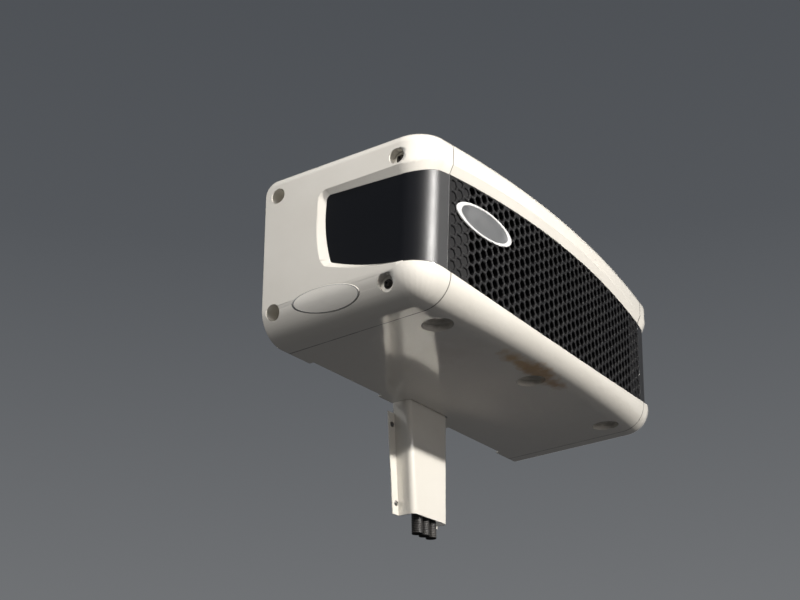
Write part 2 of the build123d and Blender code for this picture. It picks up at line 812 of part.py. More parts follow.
# Hose cover: a tapered channel with a flange each side, open above and below
with BuildPart() as hose_cover:
    for grow, mode in ((0, Mode.ADD), (-cover_sheet, Mode.SUBTRACT)):
        with BuildPart(mode=Mode.PRIVATE) as channel:
            for z, half in ((cover_bottom_z, cover_half_bottom), (cover_top_z, cover_half_top)):
                with BuildSketch(Plane.XY.offset(z)):
                    Rectangle(2 * (half + grow), 2 * (cover_depth + grow))
                    fillet(vertices(), cover_corner + grow)
            loft(ruled=True)
            split(bisect_by=Plane.XZ, keep=Keep.TOP)
        if mode == Mode.ADD:
            with BuildPart(mode=Mode.PRIVATE) as flange:
                with BuildSketch(Plane.XZ):
                    with BuildLine():
                        Polyline(
                            (-cover_half_bottom - cover_flange, cover_bottom_z),
                            (cover_half_bottom + cover_flange, cover_bottom_z),
                            (cover_half_top + cover_flange, cover_flange_top_z),
                            (-cover_half_top - cover_flange, cover_flange_top_z), close=True,
                        )
                    make_face()
                extrude(amount=cover_sheet)
            add(flange.part)
        add(channel.part, mode=mode)
export(hose_cover, "hose_cover")
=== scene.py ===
from functools import partial
from math import cos, pi, radians, sin, sqrt

import bmesh
import bpy
from mathutils import Euler, Matrix, Vector
from mathutils.bvhtree import BVHTree


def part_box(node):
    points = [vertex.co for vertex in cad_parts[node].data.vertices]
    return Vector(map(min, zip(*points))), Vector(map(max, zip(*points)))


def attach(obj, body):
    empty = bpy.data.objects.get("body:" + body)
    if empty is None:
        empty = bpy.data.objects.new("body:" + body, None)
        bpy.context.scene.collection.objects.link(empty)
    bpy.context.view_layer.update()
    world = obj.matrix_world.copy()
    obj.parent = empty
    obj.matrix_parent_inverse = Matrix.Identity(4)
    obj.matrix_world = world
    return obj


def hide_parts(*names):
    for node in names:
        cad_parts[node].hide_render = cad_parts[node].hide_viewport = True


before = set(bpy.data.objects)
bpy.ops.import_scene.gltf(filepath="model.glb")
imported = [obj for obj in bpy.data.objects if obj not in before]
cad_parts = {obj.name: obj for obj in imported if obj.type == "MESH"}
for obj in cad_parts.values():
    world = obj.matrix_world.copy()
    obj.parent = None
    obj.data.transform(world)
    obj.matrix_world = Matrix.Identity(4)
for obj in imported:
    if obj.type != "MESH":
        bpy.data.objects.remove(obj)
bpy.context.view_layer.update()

mm = 0.001
scene = bpy.context.scene

# Camera, floor and light. The photograph looks up from the ground, so the camera is just above
# the floor. The lens is the one that fits the photograph's frame.
camera_place = Vector((-2.668, -1.697, -1.27))
camera_yaw = radians(56.977)  # from +Y towards +X
camera_rise = radians(23.877)
camera_roll = radians(-0.836)
lens, sensor_width, nearest = 54, 36, 0.05
floor_z, floor_half = -1.29, 60
unit_middle = Vector((0, -0.25, -0.12))
spot_softness = 0.45

camera = bpy.data.objects.new("camera", bpy.data.cameras.new("camera"))
camera.data.lens = lens
camera.data.sensor_width = sensor_width
camera.data.clip_start = nearest
scene.collection.objects.link(camera)
aim = Euler((pi / 2 + camera_rise, 0, -camera_yaw)).to_matrix()
aim = aim @ Matrix.Rotation(camera_roll, 3, "Z")
camera.matrix_world = Matrix.Translation(camera_place) @ aim.to_4x4()
scene.camera = camera
scene.view_settings.view_transform = "Standard"


def link(name, mesh=None):
    """Puts a mesh, or an empty one, into the scene as an object at the origin."""
    thing = bpy.data.objects.new(name, mesh or bpy.data.meshes.new(name))
    scene.collection.objects.link(thing)
    return thing


def put(tree, kind, inputs=None, out=0, **settings):
    """Adds a node to a tree and returns one of its outputs.

    An input is a value, or the output that it is linked from."""
    node = tree.nodes.new(kind)
    for key, value in settings.items():
        setattr(node, key, value)
    for key, value in (inputs or {}).items():
        if isinstance(value, bpy.types.NodeSocket):
            tree.links.new(value, node.inputs[key])
        else:
            node.inputs[key].default_value = value
    return node.outputs[out]


def calc(tree, operation, *values):
    """A Math node on values or outputs."""
    return put(tree, "ShaderNodeMath", dict(enumerate(values)), operation=operation)


def object_place(tree):
    """Where a shaded point is on its piece."""
    return put(tree, "ShaderNodeTexCoord", out="Object")


def part(tree, vector, axis):
    """One axis of a vector."""
    return put(tree, "ShaderNodeSeparateXYZ", {"Vector": vector}, axis)


def noise(tree, place, scale, detail):
    """A soft noise about 0.5."""
    return put(tree, "ShaderNodeTexNoise", {"Vector": place, "Scale": scale, "Detail": detail})


def remap(tree, value, low, high, to_low=0.0, to_high=1.0):
    """A value moved from one range to another, and kept within it."""
    return put(tree, "ShaderNodeMapRange", {
        "Value": value, "From Min": low, "From Max": high, "To Min": to_low, "To Max": to_high})


def new_material(name):
    """A new material, as the material, its tree and its shader's inputs."""
    material = bpy.data.materials.new(name)
    material.use_nodes = True
    tree = material.node_tree
    return material, tree, tree.nodes["Principled BSDF"].inputs


floor_paint, floor_tree, floor_shader = new_material("studio_floor")
floor_cloud = noise(floor_tree, object_place(floor_tree), 1.5, 3.0)
floor_shade = remap(floor_tree, floor_cloud, 0.0, 1.0, 0.96, 1.0)
floor_tint = put(floor_tree, "ShaderNodeMix", {
    "Factor": 1.0, "A": (0.58, 0.575, 0.565, 1), "B": floor_shade,
}, "Result", data_type="RGBA", blend_type="MULTIPLY")
floor_tree.links.new(floor_tint, floor_shader["Base Color"])
floor_shader["Roughness"].default_value = 0.9

floor = link("studio_floor")
corners = ((-floor_half, -floor_half), (floor_half, -floor_half), (floor_half, floor_half),
           (-floor_half, floor_half))
floor.data.from_pydata([(x, y, floor_z) for x, y in corners], [], [(0, 1, 2, 3)])
floor.data.materials.append(floor_paint)
floor.visible_diffuse = False  # the lower half of the sky lights the underside instead
floor.visible_glossy = False

world = bpy.data.worlds.new("studio")
world.use_nodes = True
scene.world = world
sky = world.node_tree
sky_height = part(sky, put(sky, "ShaderNodeTexCoord", out="Generated"), "Z")
sky_share = calc(sky, "MULTIPLY_ADD", sky_height, 0.5, 0.5)  # from 0 below to 1 overhead
sky_colour = put(sky, "ShaderNodeValToRGB", {"Fac": sky_share})
sky_ramp = sky_colour.node.color_ramp.elements
below, horizon = (0.2, 0.2, 0.205, 1), (0.68, 0.7, 0.72, 1)
sky_ramp[0].color = below
sky_ramp[1].color = (0.14, 0.16, 0.19, 1)
for height, colour in ((0.45, below), (0.456, horizon), (0.725, (0.27, 0.29, 0.32, 1))):
    sky_ramp.new(height).color = colour
sky.links.new(sky_colour, sky.nodes["Background"].inputs["Color"])
sky.nodes["Background"].inputs["Strength"].default_value = 0.33


def aim_light(name, place, power, colour, radius, cone, gloss=False):
    """Adds a soft-edged spot light aimed at the unit, for matt shading or else for gloss."""
    lamp = link(name, bpy.data.lights.new(name, "SPOT"))
    lamp.data.energy = power
    lamp.data.color = colour
    lamp.data.shadow_soft_size = radius
    lamp.data.spot_size = radians(cone)
    lamp.data.spot_blend = spot_softness
    lamp.location = place
    lamp.visible_diffuse = not gloss
    lamp.visible_glossy = gloss
    lamp.rotation_euler = (unit_middle - Vector(place)).to_track_quat("-Z", "Y").to_euler()


aim_light("key_light", (-1.15, -5.35, 1.8), 1850, (1.0, 0.97, 0.93), 0.12, 20)
aim_light("shine_light", (0.15, -5.5, 1.8), 2700, (1.0, 0.97, 0.93), 0.42, 20, gloss=True)
aim_light("fill_light", (-4.4, -1.2, 2.6), 620, (1.0, 0.98, 0.97), 0.9, 26)
aim_light("low_light", (-1.2, -4.6, -1.0), 90, (1.0, 0.95, 0.93), 0.6, 26)
aim_light("back_light", (-1.5, 3.2, 3.0), 300, (0.95, 0.97, 1.0), 0.6, 30)

sun = link("floor_light", bpy.data.lights.new("floor_light", "SUN"))
sun.data.energy = 1.5
sun.data.angle = radians(25)
sun.light_linking.receiver_collection = bpy.data.collections.new("floor_only")
sun.light_linking.receiver_collection.objects.link(floor)

# The moulded cover: two end caps, the front beam, the top with the fan outlets and the lower
# pan. They are glass-fibre shells with a white gelcoat, screwed to the frame, and road dust
# and exhaust film have settled on them.


def shader_group(name, inputs):
    """A new shader node group with named inputs, as its tree and what they bring in."""
    tree = bpy.data.node_groups.new(name, "ShaderNodeTree")
    for label, value in inputs.items():
        kind = "NodeSocketVector" if isinstance(value, tuple) else "NodeSocketFloat"
        tree.interface.new_socket(label, in_out="INPUT", socket_type=kind).default_value = value
    return tree, tree.nodes.new("NodeGroupInput").outputs


def end_group(tree, **results):
    """Hands out a group's results, a vector as Normal and a number under any other name."""
    for label in results:
        kind = "NodeSocketVector" if label == "Normal" else "NodeSocketFloat"
        tree.interface.new_socket(label, in_out="OUTPUT", socket_type=kind)
    last = tree.nodes.new("NodeGroupOutput")
    for label, result in results.items():
        tree.links.new(result, last.inputs[label])
    return tree


def vector_calc(tree, operation, *values, out=0):
    """A Vector Math node on values or outputs."""
    return put(tree, "ShaderNodeVectorMath", dict(enumerate(values)), out, operation=operation)


# Road film: soft patches of dust, more of it where a face looks up
tree, given = shader_group("road_film", {"Patch Size": 0.1, "Amount": 0.3, "Settled": 0.5})
place = object_place(tree)
scale = calc(tree, "DIVIDE", 1.0, given["Patch Size"])
broad = noise(tree, place, scale, 4.0)
fine = noise(tree, place, calc(tree, "MULTIPLY", scale, 14.0), 6.0)
upward = part(tree, put(tree, "ShaderNodeNewGeometry", out="Normal"), "Z")
level = calc(tree, "MULTIPLY_ADD", upward, given["Settled"], broad)
grit = calc(tree, "MULTIPLY_ADD", fine, 0.9, 0.3)
patches = calc(tree, "MULTIPLY", remap(tree, level, 0.42, 0.85), grit)
film_group = end_group(tree, Mask=calc(tree, "MULTIPLY", patches, given["Amount"]))

# Worn edges, found by comparing the face's direction with a rounded one
tree, given = shader_group("worn_edges", {"Radius": 0.002, "Amount": 0.5})
rounded = put(tree, "ShaderNodeBevel", {"Radius": given["Radius"]}, samples=4)
flat = put(tree, "ShaderNodeNewGeometry", out="Normal")
match = vector_calc(tree, "DOT_PRODUCT", rounded, flat, out="Value")
chips = noise(tree, object_place(tree), 90.0, 5.0)
wear = calc(tree, "MULTIPLY", remap(tree, match, 0.98, 0.8), remap(tree, chips, 0.35, 0.7))
edge_group = end_group(tree, Mask=calc(tree, "MULTIPLY", wear, given["Amount"]), Normal=rounded)

# A soft-edged oval patch with an uneven outline, for stains, scuffs and painted shade
tree, given = shader_group(
    "stain_and_shade_patch", {"Centre": (0, 0, 0), "Half Size": (0.1, 0.1, 0.1), "Amount": 0.5})
place = object_place(tree)
away = vector_calc(tree, "SUBTRACT", place, given["Centre"])
share = vector_calc(tree, "DIVIDE", away, given["Half Size"])
reach = vector_calc(tree, "LENGTH", share, out="Value")
fray = calc(tree, "MULTIPLY_ADD", noise(tree, place, 28.0, 7.0), -1.5, 0.75)
spread = remap(tree, calc(tree, "ADD", reach, fray), 1.05, 0.35)
oval_patch_group = end_group(tree, Mask=calc(tree, "MULTIPLY", spread, given["Amount"]))

# Fine surface relief from one noise, for moulded, cast and rolled skins
tree, given = shader_group("skin_grain", {"Grain Size": 0.002})
scale = calc(tree, "DIVIDE", 1.0, given["Grain Size"])
grain_group = end_group(tree, Height=noise(tree, object_place(tree), scale, 3.0))


def blend(tree, mask, base, over):
    """A colour that goes from base to over by a mask."""
    colours = [c if isinstance(c, bpy.types.NodeSocket) else (*c, 1) for c in (base, over)]
    return put(tree, "ShaderNodeMix", {"Factor": mask, "A": colours[0], "B": colours[1]},
               "Result", data_type="RGBA")


def finish(name, colour, shade, roughness, spread, grain_size, relief, film, worn=None,
           edge_radius=0.0012, patch=0.05, settled=0.35, stains_and_shade=(), spangle=0.0, **uniform):
    """A material with colour variation, road film, worn edges and relief.

    Colours are linear. roughness and spread give its range. grain_size, relief, patch and
    spangle are in metres. film and worn are an amount and a colour each. stains_and_shade are
    rows of centre, half size, amount and colour, for stains and painted shade, and uniform
    sets sockets that are the same all over."""
    film_amount, film_colour = film
    edge_amount, edge_colour = worn or (0.25, shade)
    material, tree, shader = new_material(name)
    place = object_place(tree)
    cloud = noise(tree, place, 1.3 / patch, 3.0)
    base = blend(tree, cloud, colour, shade)
    if spangle:
        crystal = {"Vector": place, "Scale": 1 / spangle}
        crystals = put(tree, "ShaderNodeTexVoronoi", crystal, "Color")
        flake = put(tree, "ShaderNodeSeparateColor", {"Color": crystals}, "Red")
        base = blend(tree, calc(tree, "MULTIPLY", flake, 0.5), base, edge_colour)
    edges = put(tree, "ShaderNodeGroup", {"Radius": edge_radius, "Amount": edge_amount}, "Mask",
                node_tree=edge_group)
    base = blend(tree, edges, base, edge_colour)
    for centre, half_size, amount, oval_colour in stains_and_shade:
        mask = put(tree, "ShaderNodeGroup", {
            "Centre": centre, "Half Size": half_size, "Amount": amount,
        }, "Mask", node_tree=oval_patch_group)
        base = blend(tree, mask, base, oval_colour)
    dust = put(tree, "ShaderNodeGroup", {
        "Patch Size": patch, "Amount": film_amount, "Settled": settled,
    }, "Mask", node_tree=film_group)
    tree.links.new(blend(tree, dust, base, film_colour), shader["Base Color"])
    rough = remap(tree, cloud, 0.3, 0.7, roughness - spread, roughness + spread)
    rougher = calc(tree, "MULTIPLY_ADD", dust, 0.45, rough)
    tree.links.new(calc(tree, "MINIMUM", rougher, 1.0), shader["Roughness"])
    skin = put(tree, "ShaderNodeGroup", {"Grain Size": grain_size}, "Height", node_tree=grain_group)
    bump = put(tree, "ShaderNodeBump", {
        "Height": skin, "Normal": edges.node.outputs["Normal"], "Strength": 1.0,
        "Distance": relief})
    tree.links.new(bump, shader["Normal"])
    for key, value in uniform.items():
        shader[key.replace("_", " ")].default_value = value
    return material


seam_x, seam_gap = 550.4 * mm, 1.2 * mm  # half the width between the end caps' gaps, and a gap
# Painted shade: dark ovals inside the three recesses under the pan, where shade falls in the cups.
recess_painted_shade = [((x, -0.368, -0.184), (0.042, 0.042, 0.011), 0.85, (0.17, 0.15, 0.12))
               for x in (-0.465, 0, 0.465)]
# Painted shade: narrow dark bands on the gelcoat along both seam gaps, where shade falls between
# the shells.
seam_painted_shade = [((side * (seam_x + seam_gap / 2), -0.2, 0), (0.0022, 9, 9), 0.75, (0.16, 0.145, 0.12))
             for side in (-1, 1)]
scuffs = [((x, -0.05, z), (0.004, 0.01, 0.003), 0.8, (0.1, 0.09, 0.08))
          for x, z in ((-0.098, -0.399), (-0.095, -0.447))]
gelcoat = finish(
    "white_gelcoat", (0.84, 0.805, 0.735), (0.78, 0.745, 0.67), 0.15, 0.04, 0.004, 0.00003,
    film=(0.14, (0.42, 0.36, 0.28)), worn=(0.07, (0.45, 0.42, 0.38)), edge_radius=0.002,
    patch=0.16, settled=0.22,
    stains_and_shade=(
        ((-0.13, -0.408, -0.198), (0.11, 0.032, 0.03), 0.85, (0.56, 0.34, 0.11)),
        ((-0.05, -0.412, -0.198), (0.1, 0.036, 0.03), 0.85, (0.5, 0.28, 0.08)),
        ((0.05, -0.404, -0.198), (0.07, 0.026, 0.03), 0.85, (0.46, 0.25, 0.07)),
        # Painted shade: a small dark patch at the right-hand recess under the pan, which lies
        # partly in shadow.
        ((0.458, -0.373, -0.199), (0.014, 0.012, 0.02), 0.55, (0.2, 0.17, 0.13)),
        *recess_painted_shade, *seam_painted_shade,
        ((-0.31, -0.27, -0.2), (0.1, 0.12, 0.03), 0.22, (0.6, 0.52, 0.42)),
        *scuffs,
    ),
    Coat_Weight=1.0, Coat_Roughness=0.03,
)


def dress(material, *names):
    """Gives carried-over CAD nodes their finish."""
    for name in names:
        for material_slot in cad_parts[name].material_slots:
            material_slot.material = material


dress(gelcoat, "front_top_beam", "lower_pan", "hose_cover")

rear_round = 26 * mm  # rounding of the shells' upper rear edge
shell_top, ease_low = 214 * mm, 90 * mm  # it fades out between these heights
window_bow = 12 * mm  # how far the window's rear edge bows to the rear
bow_line, bow_reach = -178 * mm, 62 * mm
bow_middle, bow_half = 30 * mm, 92 * mm
window_top, top_reach, top_lift = 130 * mm, 45 * mm, 11 * mm  # its upper edge rises to the rear
lift_front, lift_full, lift_rear = -400 * mm, -190 * mm, -120 * mm
skin_x, edge_depth, lift_depth = 658 * mm, 10 * mm, 110 * mm
round_cuts = bow_cuts = 7
same_point = 0.002 * mm
flat_angle, sharp_angle = radians(0.1), radians(20)


def soften(place):
    """Where a point of a shell goes: its rear edge is rounded, its window bowed and raised."""
    x, y, z = place
    into = min(max(y + rear_round, 0), rear_round)
    drop = rear_round - sqrt(rear_round**2 - into**2)
    z -= drop * min(max((z - ease_low) / (shell_top - ease_low), 0), 1)
    upright, along = (z - bow_middle) / bow_half, (y - bow_line) / bow_reach
    if max(abs(upright), abs(along)) < 1:
        y += window_bow * (1 - upright**2) * (1 - along**2) ** 2
    from_top, inward = (z - window_top) / top_reach, skin_x - abs(x)
    if abs(from_top) < 1 and 0 < inward < lift_depth and lift_front < place[1] < lift_rear:
        rise = min((place[1] - lift_front) / (lift_full - lift_front),
                   (lift_rear - place[1]) / (lift_rear - lift_full))
        eased = rise * rise * (3 - 2 * rise) * (1 - from_top**2)
        z += top_lift * eased * min(inward / edge_depth, 1)
    return x, y, z


def settle(mesh, thing, materials=(), smooth_angle=None):
    """Writes a bmesh into an object, with its materials and smooth faces up to an angle."""
    if materials:
        thing.data.materials.clear()
    for material in materials:
        thing.data.materials.append(material)
    mesh.to_mesh(thing.data)
    mesh.free()
    if smooth_angle:
        thing.data.shade_smooth()
        thing.data.set_sharp_from_angle(angle=smooth_angle)
    return thing


def join_unit(piece, node=None):
    """Sets a piece on the unit, and hides the CAD node that it stands for."""
    if node:
        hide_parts(node)
    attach(piece, "unit")


def softened(name, material):
    """A copy of a shell that is finely cut where it bends, softened, and stands for the node."""
    mesh = bmesh.new()
    mesh.from_mesh(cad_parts[name].data)
    bmesh.ops.remove_doubles(mesh, verts=mesh.verts, dist=same_point)
    cuts = [((0, -rear_round * (1 - sin(pi * k / 2 / round_cuts)), 0), (0, 1, 0))
            for k in range(round_cuts)]
    cuts += [((0, 0, bow_middle + bow_half * k / bow_cuts), (0, 0, 1))
             for k in range(1 - bow_cuts, bow_cuts)]
    for point, normal in cuts:
        bmesh.ops.bisect_plane(mesh, geom=mesh.verts[:] + mesh.edges[:] + mesh.faces[:],
                               plane_co=point, plane_no=normal, dist=same_point / 2)
    for vertex in mesh.verts:
        vertex.co = soften(vertex.co)
    mesh.normal_update()
    bmesh.ops.dissolve_limit(mesh, verts=mesh.verts, edges=mesh.edges, angle_limit=flat_angle)
    shell = settle(mesh, link(f"{name}_shell"), [material], sharp_angle)
    even = shell.modifiers.new("even_shading", "WEIGHTED_NORMAL")
    even.keep_sharp = True
    even.mode = "FACE_AREA"
    join_unit(shell, name)


for name in ("left_end_cap", "right_end_cap", "top_cover"):
    softened(name, gelcoat)

# Corner panels: thin injection-moulded sheets in gloss black, clipped behind the opening of
# each end cap, where they carry the grille's band round the corner.
black_gloss = finish(
    "black_gloss", (0.002, 0.0022, 0.004), (0.003, 0.0035, 0.005), 0.45, 0.02, 0.0016, 0.00006,
    film=(0.015, (0.06, 0.055, 0.05)), worn=(0.3, (0.08, 0.08, 0.09)), patch=0.07,
    Coat_Weight=0.12, Coat_Roughness=0.6, Specular_IOR_Level=0.7,
)
for name in ("left_corner_panel", "right_corner_panel"):
    softened(name, black_gloss)

# Honeycomb grille: one bowed moulding in black plastic with six-sided holes and raised
# junctions. The cells near the corners are closed dimples. It is clipped behind the cover.
grille_inset = 10 * mm
cell_pitch, cell_web, cell_shift = 29.3 * mm, 7.5 * mm, 10 * mm
open_half_width = 468 * mm
grille_depth, dimple_depth, dimple_draft = 12 * mm, 3 * mm, 0.6 * mm
grille_border = 4 * mm
junction_rise, hole_round = 0.9 * mm, 1.4 * mm
front_depth, front_lean, front_bow = 492 * mm, 0.06, 5.9
arch_top, arch_top_drop = 158 * mm, 25 * mm  # the opening's height, and its fall sideways
arch_low, arch_low_rise = -137 * mm, 24 * mm
corner_arc = radians(9)
hole_apothem = (cell_pitch - cell_web) / 2
hole_reach = hole_apothem * 1.09  # the hole's corners are rounded off here
cell_angles = [k * pi / 3 + off for k in range(6) for off in (-corner_arc, 0, corner_arc)]
cell_weld = 0.04 * mm
solid_share, dropped_share = 0.6, 0.62  # of a hole and of a cell, where the border cuts one


def front_y(x, z):
    """Y of the grille's bowed front at a place."""
    radius = front_bow - grille_inset
    return -(front_depth - grille_inset + front_lean * z) + radius - sqrt(radius**2 - x**2)


def arch_radius(change):
    """Radius of the arc that moves by change from the middle of the opening to the seam."""
    return (seam_x**2 + change**2) / (2 * abs(change))


def arch(x, middle, change):
    """Height of one edge of the grille's opening."""
    radius = arch_radius(change)
    fall = radius - sqrt(radius**2 - min(abs(x), seam_x) ** 2)
    return middle + (fall if change > 0 else -fall)


def hexagon(angle, apothem):
    """Distance from the middle to a six-sided outline with points at left and right."""
    return apothem / cos((angle % (pi / 3)) - pi / 6)


def ring(mesh, apothem, limit, depth, raised=0.0):
    """One ring of a cell's vertices, in X and Z, as deep as depth."""
    made = []
    for step, angle in enumerate(cell_angles):
        reach = min(hexagon(angle, apothem), limit)
        lift = raised if step % 3 == 1 else 0
        made.append(mesh.verts.new((reach * cos(angle), depth - lift, reach * sin(angle))))
    return made


def cell(kind):
    """One cell of the grille: open right through, closed as a dimple, or solid."""
    mesh = bmesh.new()
    mark = mesh.verts.layers.float.new("hole")
    rings = [ring(mesh, cell_pitch / 2, 1, 0, junction_rise)]
    if kind != "solid":
        rings.append(ring(mesh, hole_apothem + hole_round, hole_reach + hole_round, 0))
        rings.append(ring(mesh, hole_apothem, hole_reach, hole_round))
    if kind == "open":
        rings.append(ring(mesh, hole_apothem, hole_reach, grille_depth))
    elif kind == "closed":
        rings.append(ring(mesh, hole_apothem - dimple_draft, hole_reach, dimple_depth))
    for holed in rings[1:]:
        for vertex in holed:
            vertex[mark] = 1
    back = ring(mesh, cell_pitch / 2, 1, grille_depth)
    if kind == "open":
        rings.append(back)
    for near, far in zip(rings, rings[1:]):
        for k in range(len(near)):
            mesh.faces.new((near[k], near[k - 1], far[k - 1], far[k]))
    if kind != "open":
        mesh.faces.new(rings[-1])
        mesh.faces.new(back[::-1])
    return settle(mesh, link(f"cell_{kind}"))


def geometry_tree(name, **labels):
    """A new Geometry Nodes tree with inputs named by kind, as the tree and what they bring in."""
    tree = bpy.data.node_groups.new(name, "GeometryNodeTree")
    for kind, names in {"Geometry": ["Geometry"], **labels, "Material": ["Material"]}.items():
        for label in names:
            tree.interface.new_socket(label, in_out="INPUT", socket_type=f"NodeSocket{kind}")
    tree.interface.new_socket("Geometry", in_out="OUTPUT", socket_type="NodeSocketGeometry")
    return tree, tree.nodes.new("NodeGroupInput").outputs


def place_copies(tree, points, shape, **choices):
    """Real copies of a shape at points, with the node's other inputs as choices."""
    copies = put(tree, "GeometryNodeInstanceOnPoints", {
        "Points": points, "Instance": shape, **choices})
    return put(tree, "GeometryNodeRealizeInstances", {"Geometry": copies})


def end_tree(tree, inputs, shape):
    """Ends a Geometry Nodes tree: its shape gets the material and is handed out."""
    coloured = put(tree, "GeometryNodeSetMaterial", {
        "Geometry": shape, "Material": inputs["Material"]})
    tree.links.new(coloured, tree.nodes.new("NodeGroupOutput").inputs[0])


def grow(tree, name, values, base=None):
    """Runs a Geometry Nodes tree with its named inputs set, and keeps the result as a mesh."""
    carrier = base or link(name)
    modifier = carrier.modifiers.new(tree.name, "NODES")
    modifier.node_group = tree
    for item in tree.interface.items_tree:
        if item.in_out == "INPUT" and item.name in values:
            modifier[item.identifier] = values[item.name]
    bpy.context.view_layer.update()
    shown = carrier.evaluated_get(bpy.context.evaluated_depsgraph_get())
    mesh = bpy.data.meshes.new_from_object(shown)
    mesh.name = name
    carrier.modifiers.remove(modifier)
    carrier.data = mesh
    return carrier


def xyz(tree, x, y, z):
    """A vector of three values or outputs."""
    return put(tree, "ShaderNodeCombineXYZ", {"X": x, "Y": y, "Z": z})


def point_axes(tree):
    """X, Y and Z of each point."""
    point = put(tree, "GeometryNodeInputPosition")
    return [part(tree, point, axis) for axis in "XYZ"]


field_tree, field = geometry_tree(
    "cell_field", Object=["Open Cell", "Closed Cell", "Solid Cell"], Int=["Columns", "Rows"],
    Float=["Pitch", "Shift", "Open Half Width", "Half Width", "Upper Middle", "Lower Middle",
           "Upper Radius", "Lower Radius", "Solid Within", "Dropped Beyond"])
field_calc = partial(calc, field_tree)
column_step = field_calc("MULTIPLY", field["Pitch"], cos(pi / 6))
lattice = put(field_tree, "GeometryNodeMeshGrid", {
    "Size X": field_calc("MULTIPLY", field_calc("SUBTRACT", field["Columns"], 1), column_step),
    "Size Y": field_calc("MULTIPLY", field_calc("SUBTRACT", field["Rows"], 1), field["Pitch"]),
    "Vertices X": field["Columns"], "Vertices Y": field["Rows"],
})
knot_x, knot_y, _ = point_axes(field_tree)
column = field_calc("ROUND", field_calc("DIVIDE", knot_x, column_step))
stagger = field_calc("MULTIPLY", field_calc("FLOORED_MODULO", column, 2.0), 0.5)
height = field_calc("MULTIPLY_ADD", stagger, field["Pitch"], knot_y)
upright = xyz(field_tree, knot_x, 0.0, field_calc("ADD", height, field["Shift"]))
staggered = put(field_tree, "GeometryNodeSetPosition", {"Geometry": lattice, "Position": upright})
spot_x, _, spot_z = point_axes(field_tree)


def arc_fall(radius):
    """How far an arc of that radius has moved at the point's X."""
    across = field_calc("POWER", spot_x, 2.0)
    square = field_calc("SUBTRACT", field_calc("POWER", radius, 2.0), across)
    return field_calc("SUBTRACT", radius, field_calc("SQRT", square))


high = field_calc("SUBTRACT", field["Upper Middle"], arc_fall(field["Upper Radius"]))
low = field_calc("ADD", field["Lower Middle"], arc_fall(field["Lower Radius"]))
sideways = field_calc("ABSOLUTE", spot_x)
inside = field_calc("SUBTRACT", high, spot_z)
for edge in (field_calc("SUBTRACT", spot_z, low),
             field_calc("SUBTRACT", field["Half Width"], sideways)):
    inside = field_calc("MINIMUM", inside, edge)
kept = put(field_tree, "GeometryNodeDeleteGeometry", {
    "Geometry": staggered, "Selection": field_calc("LESS_THAN", inside, field["Dropped Beyond"]),
}, domain="POINT")
is_solid = field_calc("LESS_THAN", inside, field["Solid Within"])
is_outer = field_calc("GREATER_THAN", sideways, field["Open Half Width"])
is_holed = field_calc("SUBTRACT", 1.0, is_solid)
is_closed = field_calc("MULTIPLY", is_outer, is_holed)
is_open = field_calc("MULTIPLY", field_calc("SUBTRACT", 1.0, is_outer), is_holed)
joined = put(field_tree, "GeometryNodeJoinGeometry")
for label, chosen in (("Open Cell", is_open), ("Closed Cell", is_closed), ("Solid Cell", is_solid)):
    shape = put(field_tree, "GeometryNodeObjectInfo", {"Object": field[label]}, "Geometry")
    copies = place_copies(field_tree, kept, shape, Selection=chosen)
    field_tree.links.new(copies, joined.node.inputs[0])
welded = put(field_tree, "GeometryNodeMergeByDistance", {"Geometry": joined, "Distance": cell_weld})
end_tree(field_tree, field, welded)

black_plastic = finish(
    "black_grille_plastic", (0.005, 0.005, 0.006), (0.01, 0.01, 0.011), 0.5, 0.06, 0.0016,
    0.00008, film=(0.08, (0.08, 0.07, 0.06)), worn=(0.35, (0.045, 0.045, 0.045)),
    edge_radius=0.0008, patch=0.09, settled=0.5, Specular_IOR_Level=0.18,
)
cells = [cell(kind) for kind in ("open", "closed", "solid")]
grille = grow(field_tree, "grille_honeycomb", {
    "Open Cell": cells[0], "Closed Cell": cells[1], "Solid Cell": cells[2], "Pitch": cell_pitch,
    "Columns": 2 * int(seam_x / (cell_pitch * cos(pi / 6)) + 0.5) + 1,
    "Rows": 2 * int((arch_top - arch_low) / 2 / cell_pitch + 1) + 3,
    "Shift": cell_shift, "Open Half Width": open_half_width, "Half Width": seam_x,
    "Upper Middle": arch_top, "Lower Middle": arch_low,
    "Upper Radius": arch_radius(arch_top_drop), "Lower Radius": arch_radius(arch_low_rise),
    "Solid Within": grille_border - hole_apothem * solid_share,
    "Dropped Beyond": -cell_pitch * dropped_share, "Material": black_plastic,
})
for shape in cells:
    bpy.data.objects.remove(shape)


